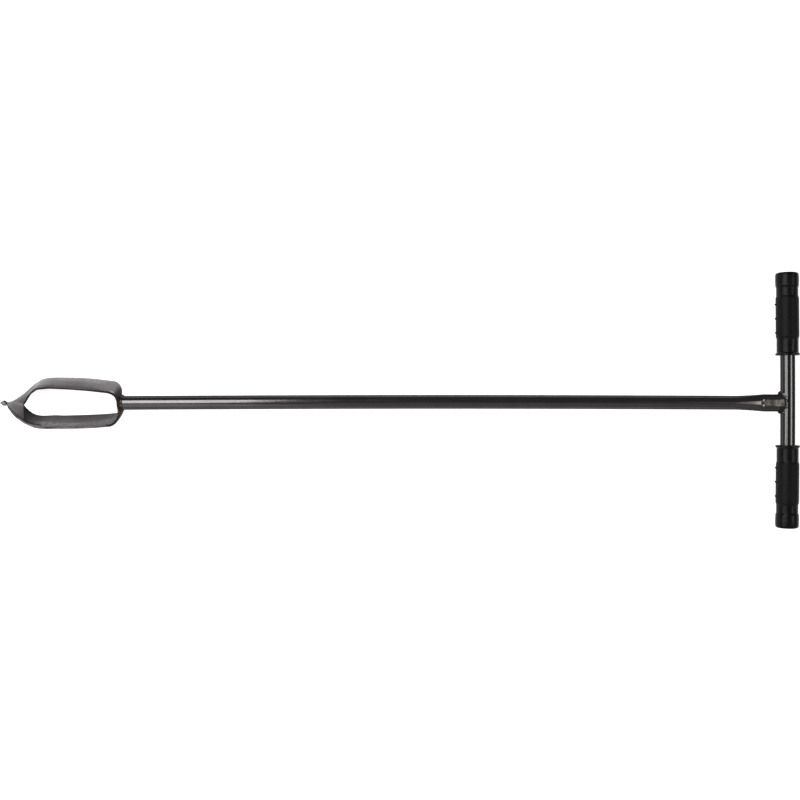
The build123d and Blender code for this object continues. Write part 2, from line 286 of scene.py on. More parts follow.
def skin(name, rings, along, around, marks=None, loop=False, sharp=40.0):
    """Closed skin through rings of equally many points.

    Its UV map holds lengths in metres, and its marks are three shares at each point.
    """
    size = len(rings[0])
    vertices = [to_frame(point) for ring in rings for point in ring]
    faces = []
    stretches = []
    spans = len(rings) if loop else len(rings) - 1
    for row in range(spans):
        here = row * size
        there = ((row + 1) % len(rings)) * size
        for column in range(size):
            following = (column + 1) % size
            faces.append((here + column, here + following, there + following, there + column))
            stretches.append((row, row + 1, column, column + 1))
    if not loop:
        faces.append(tuple(reversed(range(size))))
        faces.append(tuple(range((len(rings) - 1) * size, len(rings) * size)))
    mesh = bpy.data.meshes.new(name)
    mesh.from_pydata(vertices, [], faces)
    lengths = along + [along[-1] + (along[-1] - along[-2])]
    girths = around + [around[-1] + (around[-1] - around[-2])]
    layer = mesh.uv_layers.new(name="lengths")
    for face, stretch in zip(mesh.polygons, stretches):
        row, next_row, column, next_column = stretch
        corners = ((row, column), (row, next_column), (next_row, next_column), (next_row, column))
        for index, (r, c) in zip(face.loop_indices, corners):
            layer.data[index].uv = (lengths[r] * MM, girths[c] * MM)
    if marks:
        attribute = mesh.attributes.new("marks", "FLOAT_VECTOR", "POINT")
        attribute.data.foreach_set("vector", [value for ring in marks for mark in ring for value in mark])
    form = bmesh.new()
    form.from_mesh(mesh)
    bmesh.ops.recalc_face_normals(form, faces=form.faces)
    form.to_mesh(mesh)
    form.free()
    mesh.shade_smooth()
    mesh.set_sharp_from_angle(angle=math.radians(sharp))
    piece = bpy.data.objects.new(name, mesh)
    bpy.context.scene.collection.objects.link(piece)
    return piece


def lengths_of(row):
    """Running length along a row of points."""
    lengths = [0.0]
    for before, after in zip(row, row[1:]):
        lengths.append(lengths[-1] + (after - before).length)
    return lengths


def fit(piece, node, material):
    """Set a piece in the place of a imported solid."""
    piece.data.materials.append(material)
    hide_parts(node)
    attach(piece, "root")


# Blades

SURFACE_POINTS = 34
CORNER_POINTS = 5
OUTSIDE_FACE, TRAIL_EDGE, INSIDE_FACE, LEAD_EDGE = range(4)


def strip_ring(lead, trail, bulge, thickness, lead_round, trail_round):
    """Outline of the strip: outside from lead to trail, trailing edge, inside back, leading edge."""
    chord = trail - lead
    direction = chord.normalized()
    outward = Vector((0, direction.z, -direction.y)).normalized()
    width = chord.length
    radius = (width * width / 4 + bulge * bulge) / (2 * bulge)
    half_length = radius * math.asin(min(1.0, width / (2 * radius)))
    half = thickness / 2

    def place(length, height):
        turn = length / radius
        reach = radius + height
        sideways = width / 2 + reach * math.sin(turn)
        return lead + direction * sideways + outward * (bulge - radius + reach * math.cos(turn))

    low = -half_length + lead_round
    high = half_length - trail_round
    across = spread(SURFACE_POINTS)
    quarter = [math.pi / 2 * share for share in spread(CORNER_POINTS)]
    spots = []
    for side, start, end, rounding, face, edge in (
        (1, low, high, trail_round, OUTSIDE_FACE, TRAIL_EDGE),
        (-1, high, low, lead_round, INSIDE_FACE, LEAD_EDGE),
    ):
        spots += [(lerp(start, end, share), side * half, face) for share in across]
        for t in quarter[1:]:
            height = side * (half - rounding * (1 - math.cos(t)))
            spots.append((end + side * rounding * math.sin(t), height, edge))
        for t in quarter[:-1]:
            height = -side * (half - rounding * (1 - math.sin(t)))
            spots.append((end + side * rounding * math.cos(t), height, edge))
    faces = [(face, (length + half_length) / (2 * half_length)) for length, _, face in spots]
    return [place(length, height) for length, height, _ in spots], faces


def body_end(strip):
    return YOKE_DISTANCE - strip.shoulder


def body_radius(strip, share):
    return strip.radius - strip.taper * share**TAPER_EXPONENT - HALF_BLADE


def lip_swell(strip, x):
    """How far the cutting lip was hammered out."""
    return strip.swell * bell(x - strip.swell_distance, SWELL_LENGTH)


def arc_rise(radius, angle):
    return radius * (1 - math.cos(math.radians(angle / 2)))


def spade_ring(strip, share):
    """From the neck to the cutting lip, with the trailing edge on the shaft's axis."""
    angle = lerp(NECK_ANGLE, LIP_ANGLE, share)
    radius = lerp(NECK_HALF_WIDTH, LIP_RADIUS, sine_rise(share**LIP_EXPONENT))
    x = lerp(NECK_DISTANCE, LIP_DISTANCE, share)
    lead = polar(x, radius + lip_swell(strip, x), angle)
    seam = polar(lerp(NECK_DISTANCE, CROTCH_DISTANCE, share), SEAM_GAP / 2, angle)
    thickness = lerp(NECK_THICKNESS, BLADE_THICKNESS, share)
    return strip_ring(lead, seam, FLAT_BULGE, thickness, EDGE_ROUND, SEAM_GAP)


def fork_ring(strip, share):
    """From the cutting lip to the body, with the trailing edge leaving the axis at the crotch."""
    radius = body_radius(strip, 0.0)
    x = lerp(LIP_DISTANCE, BODY_DISTANCE, share)
    lead = polar(
        x,
        lerp(LIP_RADIUS, radius, share) + lip_swell(strip, x),
        lerp(LEAD_ANGLE, LIP_ANGLE, (1 - share) ** LEAD_EXPONENT),
    )
    opening = lerp(SEAM_GAP / 2, radius, sine_rise(share**CROTCH_EXPONENT))
    hollow = strip.hollow * bell(share - strip.hollow_share, strip.hollow_length)
    trail = polar(
        lerp(CROTCH_DISTANCE, BODY_DISTANCE, share),
        opening - hollow * (1 - share**HOLLOW_EXPONENT),
        lerp(strip.trail_angle, LIP_ANGLE, (1 - share) ** TRAIL_EXPONENT),
    )
    bulge = lerp(FLAT_BULGE, arc_rise(radius, LEAD_ANGLE - strip.trail_angle), share)
    trail_round = lerp(SEAM_GAP, EDGE_ROUND, smooth(share * CROTCH_EDGE_RATE))
    return strip_ring(lead, trail, bulge, BLADE_THICKNESS, EDGE_ROUND, trail_round)


def strip_crown(strip, share):
    """How far the middle of the strip rises above its edges, along the body."""
    arc = LEAD_ANGLE - lerp(strip.trail_angle, TRAIL_ANGLE_TOP, share)
    flattening = lerp(1, FLANGE_CROWN_SHARE, share**FLATTENING_EXPONENT)
    return arc_rise(body_radius(strip, share), arc) * flattening


def body_ring(strip, share):
    x = lerp(BODY_DISTANCE, body_end(strip), share)
    radius = body_radius(strip, share)
    lead = polar(x, radius, LEAD_ANGLE)
    trail = polar(x, radius, lerp(strip.trail_angle, TRAIL_ANGLE_TOP, share))
    return strip_ring(lead, trail, strip_crown(strip, share), BLADE_THICKNESS, EDGE_ROUND, EDGE_ROUND)


OUTWARD = polar(0, 1, MIDDLE_ANGLE)
SIDEWAYS = OUTWARD.cross(Vector((1, 0, 0)))


def chord_reach(strip):
    """How far the flattened strip's outside is from the shaft's axis where it starts to bend."""
    middle = body_radius(strip, 1.0) * math.cos(math.radians(LEAD_ANGLE - MIDDLE_ANGLE))
    return middle + strip_crown(strip, 1.0) + HALF_BLADE


def flange_half_width(strip, reach):
    chord = body_radius(strip, 1.0) * math.sin(math.radians(LEAD_ANGLE - MIDDLE_ANGLE))
    taper = lerp(FLANGE_HALF_WIDTH, chord + HALF_BLADE, max(0.0, reach) / chord_reach(strip))
    hub = math.sqrt(max(0.0, HUB_RADIUS**2 - reach**2))
    return max(taper, hub)


def bent_ring(strip, turn, run):
    """Ring of the bend after some degrees, and after some share of its run on towards the shaft."""
    points, faces = body_ring(strip, 1.0)
    bend_reach = chord_reach(strip) - strip.shoulder
    centre = Vector((body_end(strip), 0, 0)) + OUTWARD * bend_reach
    swing = Matrix.Rotation(math.radians(turn), 3, SIDEWAYS)
    moved = [centre + swing @ (p - centre) - OUTWARD * bend_reach * run for p in points]
    reach = sum(p.dot(OUTWARD) for p in moved) / len(moved)
    half_width = max(abs(p.dot(SIDEWAYS)) for p in moved)
    shrink = min(1.0, flange_half_width(strip, reach) / half_width)
    return [p - SIDEWAYS * p.dot(SIDEWAYS) * (1 - shrink) for p in moved], faces


def uneven(point, amount):
    """Low waves of hand forging, the knocked neck and spade, and the crotch off the middle."""
    shift = noise.noise_vector(point * FORGING_WAVE) * amount
    shift += noise.noise_vector(point * FORGING_DENT) * amount * FORGING_DENT_SHARE
    shift.y -= NECK_KINK * bell(point.x - NECK_KINK_DISTANCE, NECK_KINK_LENGTH)
    shift.y += SPADE_LIFT * bell(point.x - SPADE_LIFT_DISTANCE, SPADE_LIFT_LENGTH)
    middle = bell(math.hypot(point.y, point.z), CROTCH_SAG_REACH)
    shift.y -= CROTCH_SAG * bell(point.x - CROTCH_SAG_DISTANCE, CROTCH_SAG_REACH) * middle
    return point + shift


def inside_marks(stretch, share, across):
    """Painted shade, scale and grinding on the inside of a blade.

    It has painted shade behind the spade's crease and along the body and the bend, a ground strip, a dark
    line by the rubbed lip, and a bright lip that is partly rubbed metal and partly a painted highlight.
    """
    ground = 0.65 * smooth((GROUND_WIDTH - across) / 0.08)
    line = 0.0
    rim = 0.0
    if stretch == "spade":
        # darker on the spade's inside, except near the seam
        shade_and_burn = 0.28 * smooth((0.95 - across) / 0.3)
        ground = 0.0
        line = smooth((share + 0.05) / 0.2) * bell(across - LIP_LINE, LIP_LINE_WIDTH)
        rim = smooth((share - RIM_START) / RIM_RISE)
    elif stretch == "fork":
        # painted shade, darkest in the hollow behind the spade's crease and fading along the fork
        shade_and_burn = lerp(1.0, BODY_SHADE, smooth(share * 1.55 + 0.6 * (0.55 - across)))
        ground *= smooth((share - 0.25) / 0.4)
        rim = 1 - smooth((share - 0.4) / 0.25)
        place = lerp(LIP_LINE, FORK_LINE, smooth(share / 0.5))
        width = lerp(LIP_LINE_WIDTH, FORK_LINE_WIDTH, smooth(share / 0.3))
        line = rim * bell(across - place, width)
    elif stretch == "body":
        # painted shade on the body's inside face, deeper towards the bend
        shade_and_burn = lerp(BODY_SHADE, BEND_SHADE, share)
        ground *= lerp(1.0, 0.5, share)
    else:
        # painted shade inside the bend and the flange
        shade_and_burn = BEND_SHADE
        ground *= 0.5 * smooth(1 - share * 2) if stretch == "bend" else 0.0
    # the bright edge of the lip is partly rubbed metal and partly a painted highlight
    rim *= 0.8 * smooth((0.07 - across) / 0.04)
    chips = 0.0 if stretch == "spade" else 0.47 * smooth((0.2 - abs(across - 0.2)) / 0.1)
    return shade_and_burn * (1 - rim), max(line, chips), max(ground * (1 - line), rim)


def outside_marks(stretch, share, across):
    """Burn, painted shade, scale, grinding and painted highlights on the outside of a blade.

    It is burnt at the bend and the flange, rubbed along the lip, has painted highlights at the crease and
    at the bend's inner corner, and has painted shade along the trailing edge.
    """
    if stretch == "flange":
        return BURNT_SOOT, 0.0, 0.0
    if stretch == "bend":
        inner = min(1.0, smooth((across - 0.2) / 0.25) + smooth((share - 0.5) / 0.3))
        # a painted highlight: a small glint at the bend's inner corner, carried in the wear value
        worn = bell(share - 0.39, 0.07) * bell(across - 0.93, 0.05)
        burnt = BURNT_SOOT * smooth((share - 0.35) / 0.4) * lerp(0.3, 1.0, inner)
        return burnt * (1 - worn), 0.0, 3.0 * worn
    if stretch == "body":
        start = smooth(share / 0.15)
        end = smooth((1 - share) / 0.15)
        # painted shade along the trailing edge, where the strip's edge faces away from the light
        border = smooth((across - SHADE_BORDER) / 0.04)
        rubbed = 0.4 * smooth((GROUND_WIDTH - across) / 0.1)
        rubbed += 0.3 * smooth((across - 0.72) / 0.1) * (1 - border)
        return lerp(0.4, 0.29, start) * border * end, 0.0, rubbed * start * end
    lip = smooth((share - 0.45) / 0.3) if stretch == "spade" else 1 - smooth((share - 0.25) / 0.4)
    rubbed = 0.2 * lip * bell(across - 0.1, 0.13)
    if stretch == "spade":
        # painted highlight along the spade's end by the crease; the spade also darkens towards the seam
        glint = smooth((share - 0.8) / 0.17) * lerp(1.0, 0.1, smooth((across - 0.25) / 0.5))
        return lerp(0.07, 0.17, smooth((across - 0.4) / 0.4)) * (1 - glint), 0.0, max(rubbed, glint)
    # painted shade: a dark band along the fork's trailing edge, and a slight darkening towards the crotch
    brink = lerp(0.64, SHADE_BORDER, share)
    border = smooth((across - brink) / 0.05)
    edge_shade = border * (1 - smooth((share - 0.4) / 0.2))
    # painted highlight where the fork twists out of the spade
    glint = (1 - smooth((share - 0.15) / 0.25)) * (1 - border)
    shaded_and_burnt = max(0.12 * (1 - share), 0.4 * border * smooth((share - 0.3) / 0.2))
    return shaded_and_burnt * (1 - glint), edge_shade, max(rubbed, glint)


def blade_mark(stretch, share, face, across):
    """Burn, painted shade, scale, grinding and painted highlights at a place of a blade."""
    if face == INSIDE_FACE:
        return inside_marks(stretch, share, across)
    if face == OUTSIDE_FACE:
        return outside_marks(stretch, share, across)
    if face == TRAIL_EDGE:
        # the trailing edge's face, darkened as painted shade
        return 0.0, EDGE_SCALE_AND_SHADE, 0.0
    # the leading edge's face: painted shade where it faces away from the light, and a bright lip that is
    # partly rubbed metal and partly a painted highlight
    rim = 0.0
    if stretch == "spade":
        rim = smooth((share - RIM_START) / RIM_RISE)
    elif stretch == "fork":
        rim = 1 - smooth((share - 0.2) / 0.5)
    # darker still at the bend and the flange, as painted shade
    scale = {"spade": 1.0, "bend": 0.75, "flange": 0.75}.get(stretch, 0.5)
    return LEAD_EDGE_SHADE * (1 - rim), scale * (1 - rim), rim


def blade(name, strip, sign):
    """Blade above the shaft in the picture, or with a sign of -1 the one half a turn from it."""
    # Each stretch with its rings and how many it has
    stretches = (
        ("spade", spade_ring, 46),
        ("fork", fork_ring, 70),
        ("body", body_ring, 46),
        ("bend", lambda strip, share: bent_ring(strip, 90 * share, 0), 26),
        ("flange", lambda strip, share: bent_ring(strip, 90, share), 16),
    )
    rings = []
    marks = []
    for stretch, ring_at, count in stretches:
        shares = spread(count) if stretch == "flange" else spread(count)[:-1]
        for share in shares:
            points, faces = ring_at(strip, share)
            turned = [Vector((p.x, sign * p.y, sign * p.z)) for p in points]
            rings.append([uneven(p, FORGING_UNEVENNESS) for p in turned])
            marks.append([blade_mark(stretch, share, face, across) for face, across in faces])
    along = [0.0]
    for before, after in zip(rings, rings[1:]):
        along.append(along[-1] + sum((b - a).length for a, b in zip(before, after)) / len(before))
    around = lengths_of(rings[len(rings) // 2])
    return skin(name, rings, along, around, marks)


def screw_point(name):
    """Twisted point with scale along its two edges."""
    rings = []
    marks = []
    stations = spread(POINT_RINGS)
    for share in stations:
        belly = sine_rise(min(2.0, share / POINT_BELLY_SHARE))
        fade = sine_rise(1 - share) ** POINT_EXPONENT
        half_width = POINT_END_HALF + lerp(NECK_HALF_WIDTH, POINT_HALF_WIDTH, belly) * fade
        half_thickness = POINT_END_HALF + lerp(NECK_THICKNESS / 2, POINT_HALF_THICKNESS, belly) * fade
        turn = math.radians(90.0 - (NECK_ANGLE + POINT_TWIST * share))
        ring = []
        scaled = []
        for step in range(POINT_STEPS):
            t = 2 * math.pi * step / POINT_STEPS
            scaled.append((0.0, EDGE_SCALE_AND_SHADE * smooth((abs(math.cos(t)) - 0.6) / 0.3), 0.0))
            pinch = 1 - POINT_PINCH * math.cos(6 * t + math.pi)
            flat = half_width * math.cos(t) * pinch
            rise = half_thickness * math.sin(t) * pinch
            y = flat * math.cos(turn) - rise * math.sin(turn)
            z = flat * math.sin(turn) + rise * math.cos(turn)
            ring.append(uneven(Vector((NECK_DISTANCE * (1 - share), y, z)), POINT_UNEVENNESS))
        rings.append(ring)
        marks.append(scaled)
    along = [NECK_DISTANCE * share for share in stations]
    return skin(name, rings, along, lengths_of(rings[POINT_RINGS // 3]), marks)


# Shaft and cross tube

SIDE_POINTS = 40


def shaft_bow(x):
    """How far the shaft is bowed to one side, at a distance from the point."""
    middle = (YOKE_DISTANCE + FLAT_START) / 2
    share = (x - middle) / (FLAT_START - middle)
    return SHAFT_BOW * max(0.0, 1 - share**2)


def shaft_ring(x):
    """Outline of the shaft: two sides that are pressed flat and two that stay round."""
    share = min(1.0, max(0.0, (x - FLARE_START) / (FLAT_START - FLARE_START))) ** FLARE_EXPONENT
    ring = []
    for side in range(4):
        facing = 1 if side < 2 else -1
        for index in range(SIDE_POINTS):
            part = index / SIDE_POINTS
            turn = math.pi / 4 + (side + part) * math.pi / 2
            round_point = Vector((0, math.cos(turn), math.sin(turn))) * TUBE_RADIUS
            if side % 2 == 0:
                across = lerp(1, -1, part) * FLAT_HALF_WIDTH
                arch = max(0.0, 1 - (across / DIE_HALF_WIDTH) ** 2)
                step = smooth((x - FLAT_START + DIE_ARCH * (1 + arch)) / DIE_EDGE + 0.5)
                crown = FLARE_CROWN * max(0.0, 1 - (across / DIE_HALF_WIDTH) ** 4) * (1 - step)
                pit = PIT_DEPTH * bell(x - FLAT_START + PIT_INSET, PIT_LENGTH) * bell(across, PIT_WIDTH)
                off = max(0.0, abs(across) - FLAT_ROLL_START) / (FLAT_HALF_WIDTH - FLAT_ROLL_START)
                height = FLAT_HALF_THICKNESS + crown - pit - FLAT_ROLL * off**2
                pressed = Vector((0, across, height)) * facing
            else:
                bend = math.pi / 2 + math.pi * part
                pressed = Vector((0, math.cos(bend), math.sin(bend))) * (FLAT_HALF_THICKNESS - FLAT_ROLL)
                pressed = (pressed - Vector((0, FLAT_HALF_WIDTH, 0))) * facing
            point = round_point.lerp(pressed, share)
            ring.append(Vector((x, point.y + shaft_bow(x), point.z)))
    return ring


def die_mark(point):
    """Where the die rubbed the paint off, where it left bare lines, and where it dulled the crest.

    The lines are two bows at the start of the flat, and the crest is the flare's before them. The lines are
    also painted highlights of the step's rims, and the crest gets a little light colour as a painted tint
    of the flare's highlight.
    """
    inside = smooth((DIE_HALF_WIDTH + 0.4 - abs(point.y)) / 2.4)
    arch = max(0.0, 1 - (point.y / DIE_HALF_WIDTH) ** 2)
    along = point.x - FLAT_START
    # bare lines at the die's step, also painted highlights of its rims
    front = 0.5 * bell(along + DIE_ARCH * (1 + arch), DIE_LINE_WIDTH)
    back = 0.4 * bell(along + DIE_ARCH - (DIE_ARCH + EYE_ARCH) * arch, DIE_LINE_WIDTH)
    wear = 0.62 - 0.3 * bell(along - 13.0, 5.0) + 0.38 * bell(along - 24.0, 6.0)
    flat = smooth((along - EYE_ARCH * arch) / 3) * wear
    flare = (point.x - FLARE_START) / (FLAT_START - FLARE_START)
    reach = lerp(0.9, 5.0, max(0.0, flare))
    dull = smooth((flare + 0.2) / 0.3) * smooth((reach - abs(point.y)) / (0.5 * reach))
    dull *= lerp(1.0, 0.62, smooth((flare - 0.36) / 0.55)) * (1 - smooth((along + 4.0) / 3.0))
    # the crest's light tint in the second mark is a painted highlight
    return inside * flat, max(inside * max(front, back), 0.25 * dull * smooth(flare)), dull


def shaft(name):
    """Tube from the yoke to its pressed end, with close rings where the die stepped it."""
    die_start = FLAT_START - DIE_BEFORE
    die_end = FLAT_START + DIE_AFTER
    handle_end = HANDLE_DISTANCE - TUBE_RADIUS / 2
    straight = [lerp(YOKE_DISTANCE, FLARE_START, share) for share in spread(90)]
    flare = [lerp(FLARE_START, die_start, share) for share in spread(40)]
    die = [lerp(die_start, die_end, share) for share in spread(60)]
    flat = [lerp(die_end, handle_end, share) for share in spread(30)]
    stations = straight + flare[1:] + die[1:] + flat[1:]
    rings = [shaft_ring(x) for x in stations]
    marks = [[die_mark(point) for point in ring] for ring in rings]
    return skin(name, rings, stations, lengths_of(rings[0]), marks)


def bar_point(turn, radius, y):
    """Point round the cross tube's axis, from +X towards +Z.

    The weld has drawn the bar's ends a little towards the head.
    """
    bow = WELD_DRAW * ((y - HANDLE_OFFSET) / BAR_HALF_LENGTH) ** 2
    return Vector((HANDLE_DISTANCE - bow + radius * math.cos(turn), y, radius * math.sin(turn)))


def cross_tube(name):
    """Open tube: its outside from end to end, and its bore back again."""
    low = BAR_LOW.y / MM
    high = BAR_HIGH.y / MM
    runs = [(lerp(low, high, share), TUBE_RADIUS) for share in spread(80)]
    runs += [(y, TUBE_RADIUS - TUBE_WALL) for y, _ in reversed(runs)]
    turns = [2 * math.pi * step / TUBE_STEPS for step in range(TUBE_STEPS)]
    rings = [[bar_point(turn, radius, y) for turn in turns] for y, radius in runs]
    along = [y - low for y, _ in runs]
    return skin(name, rings, along, lengths_of(rings[0]), loop=True)


# Grips

def rounded(corners):
    """Outline through corners of (distance, radius, rounding), with each corner replaced by an arc."""
    points = []
    for index, (x, r, rounding) in enumerate(corners):
        here = Vector((x, r))
        if rounding == 0:
            points.append(here)
            continue
        before = Vector(corners[index - 1][:2]) - here
        after = Vector(corners[index + 1][:2]) - here
        half_angle = before.angle(after) / 2
        longest = CORNER_SHARE * min(before.length, after.length)
        reach = min(rounding / math.tan(half_angle), longest)
        start = here + before.normalized() * reach
        end = here + after.normalized() * reach
        for share in spread(CORNER_STEPS):
            points.append(start.lerp(here, share).lerp(here.lerp(end, share), share))
    return points


def grip_outline():
    """Half section of a grip, from the middle of its closed end round to the end of its bore."""
    flange = GRIP_LENGTH - GRIP_FLANGE_THICKNESS
    corners = [
        (0.0, GRIP_CENTRE, 0),
        (0.0, GRIP_BODY_RADIUS, 4.5),
        (GRIP_BULB_CROWN, GRIP_BULB_RADIUS, 20.0),
        (GRIP_BULB_END, GRIP_BODY_RADIUS, 3.0),
        (GRIP_NECK_START, GRIP_WAIST_RADIUS, 2.0),
        (GRIP_NECK_END, GRIP_WAIST_RADIUS, 2.0),
        (GRIP_BODY_START, GRIP_BODY_RADIUS, 2.0),
        (GRIP_BODY_END, GRIP_BODY_RADIUS, 2.0),
        (GRIP_COLLAR_START, GRIP_WAIST_RADIUS, 2.0),
        (flange - 1.2, GRIP_WAIST_RADIUS, 1.0),
        (flange + 0.6, GRIP_FLANGE_RADIUS, 0.8),
        (GRIP_LENGTH - 0.4, GRIP_FLANGE_RADIUS, 0.8),
        (GRIP_LENGTH, GRIP_FLANGE_RADIUS - 1.0, 0.6),
        (GRIP_LENGTH, GRIP_BORE + 0.4, 0.3),
        (GRIP_LENGTH - 0.8, GRIP_BORE, 0.3),
        (GRIP_END_WALL, GRIP_BORE, 0),
        (GRIP_END_WALL, GRIP_CENTRE, 0),
    ]
    points = rounded(corners)
    dense = []
    for before, after in zip(points, points[1:]):
        ribbed = before.y > GRIP_WAIST_RADIUS and after.x > before.x
        step = GRIP_RIBBED_STEP if ribbed else GRIP_PLAIN_STEP
        count = max(1, round((after - before).length / step))
        dense += [before.lerp(after, index / count) for index in range(count)]
    return dense + [points[-1]]


def rib_rise(distance, turn):
    """Height of the finger ribs on the far side of the grip."""
    off = (math.degrees(turn) - RIB_CENTRE_ANGLE + 180.0) % 360.0 - 180.0
    inside = smooth((RIB_HALF_SPAN + RIB_RUN_OUT / 2 - abs(off)) / RIB_RUN_OUT)
    rise = 0.0
    for place in RIB_DISTANCES:
        off_rib = abs(distance - place) / (RIB_WIDTH / 2)
        if off_rib < 1:
            rise = math.sqrt(1 - off_rib**2)
    return RIB_HEIGHT * inside * rise


def grip_gloss(distance):
    """How smooth the rubber is: polished at the bulb and the waists, grained on the body."""
    return max(smooth((GLOSS_START - distance) / GLOSS_FADE), smooth((distance - GLOSS_END) / GLOSS_FADE))


def grip(name, side):
    """Grip on the end of the cross tube towards +Y, or with a side of -1 the other."""
    mouth = abs(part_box("upper_grip")[0].y / MM - HANDLE_OFFSET)
    end = HANDLE_OFFSET + side * (GRIP_LENGTH + mouth)
    outline = grip_outline()
    rings = []
    for spot in outline:
        outer = spot.y > GRIP_BORE + 1 and spot.x < GRIP_LENGTH - GRIP_FLANGE_THICKNESS
        ring = []
        for step in range(GRIP_STEPS):
            turn = 2 * math.pi * step / GRIP_STEPS
            radius = spot.y + (rib_rise(spot.x, turn) if outer else 0.0)
            ring.append(bar_point(turn, radius, end - side * spot.x))
        rings.append(ring)
    along = lengths_of(outline)
    marks = [[(grip_gloss(spot.x), 0.0, 0.0)] * len(rings[0]) for spot in outline]
    around = lengths_of(rings[GRIP_GIRTH_RING])
    return skin(name, rings, along, around, marks, sharp=GRIP_SHARP)


# Welds

def ripple(length, seed):
    """Height of a weld's ripples, with uneven steps."""
    drift = noise.noise(Vector((length * 0.12, seed, 0))) * 1.6
    wave = (length / WELD_RIPPLE + drift) % 1.0
    lump = noise.noise(Vector((length * 0.2, seed, 7.0)))
    return 0.9 * (1 - abs(2 * wave - 1) ** 2.2) - 0.45 + 0.5 * lump


def bead(name, stations):
    """Weld along a closed seam.

    Each station has the seam, its two toes, the fullness, the length up to there and the wear.
    """
    across = spread(BEAD_STEPS)
    rings = []
    marks = []
    for seam, first, second, fullness, length, wear in stations:
        middle = (first + second) / 2
        crest = middle + (middle - seam) * (fullness + BEAD_RELIEF * ripple(length, BEAD_SEED))
        arc = [first.lerp(crest, share).lerp(crest.lerp(second, share), share) for share in across]
        rings.append(arc + [seam + (seam - middle) * BEAD_ROOT])
        marks.append([(*wear(share), 0.0) for share in across] + [(0.0, 0.0, 0.0)])
    along = [station[4] for station in stations]
    return skin(name, rings, along, lengths_of(rings[0]), marks, loop=True, sharp=BEAD_SHARP)


def handle_wear(y):
    """How bare and how rubbed the handle's bead is from toe to toe, at a place along the cross tube."""
    worn = smooth((y - 7.0) / 5.0)
    rubbed = smooth((DIE_HALF_WIDTH - abs(y)) / 2.0)

    def wear(share):
        bare = max(worn * smooth((share - 0.45) / 0.2), smooth((share - 0.72) / 0.1))
        return bare, rubbed * smooth((0.6 - share) / 0.15)

    return wear


def handle_weld(name):
    """Bead round the pressed end, thin at its rounds and lapping far over the cross tube on its flats."""
    outline = shaft_ring(FLAT_START + HANDLE_SECTION)
    end = FLAT_HALF_WIDTH + FLAT_HALF_THICKNESS
    stations = []
    length = 0.0
    for index, spot in enumerate(outline):
        run = outline[(index + 1) % len(outline)] - outline[index - 1]
        normal = Vector((0, run.z, -run.y)).normalized()
        flank = max(0.0, 1 - (abs(spot.y) / end) ** HANDLE_FLANK_EXPONENT)
        on_shaft = lerp(HANDLE_LEG_ROUND, HANDLE_LEG_FLAT, flank)
        on_tube = lerp(HANDLE_TOE_ROUND + HANDLE_TOE_LEAN * spot.y, HANDLE_TOE_FLAT, flank)
        turn = math.asin(spot.z / TUBE_RADIUS)
        seam = bar_point(math.pi - turn, TUBE_RADIUS, spot.y)
        first = seam + Vector((-on_shaft, 0, 0)) + normal * TOE_LIFT
        turn += on_tube * normal.z / TUBE_RADIUS
        second = bar_point(math.pi - turn, TUBE_RADIUS + HANDLE_TOE_LIFT, spot.y + on_tube * normal.y)
        length += run.length / 2
        stations.append((seam, first, second, HANDLE_FULLNESS, length, handle_wear(spot.y)))
    return bead(name, stations)


def yoke_weld(name):
    """Bead round the shaft's lower end, on the blades' flanges."""
    stations = []
    for index in range(YOKE_STEPS):
        turn = 2 * math.pi * index / YOKE_STEPS
        outward = Vector((0, math.sin(turn), math.cos(turn)))
        seam = Vector((YOKE_DISTANCE, 0, 0)) + outward * TUBE_RADIUS
        first = seam + Vector((YOKE_LEG, 0, 0)) + outward * TOE_LIFT
        second = seam + outward * YOKE_TOE + Vector((TOE_LIFT, 0, 0))
        length = TUBE_RADIUS * turn
        stations.append((seam, first, second, YOKE_FULLNESS, length, lambda share: (YOKE_WEAR, 0.0)))
    return bead(name, stations)


# Materials

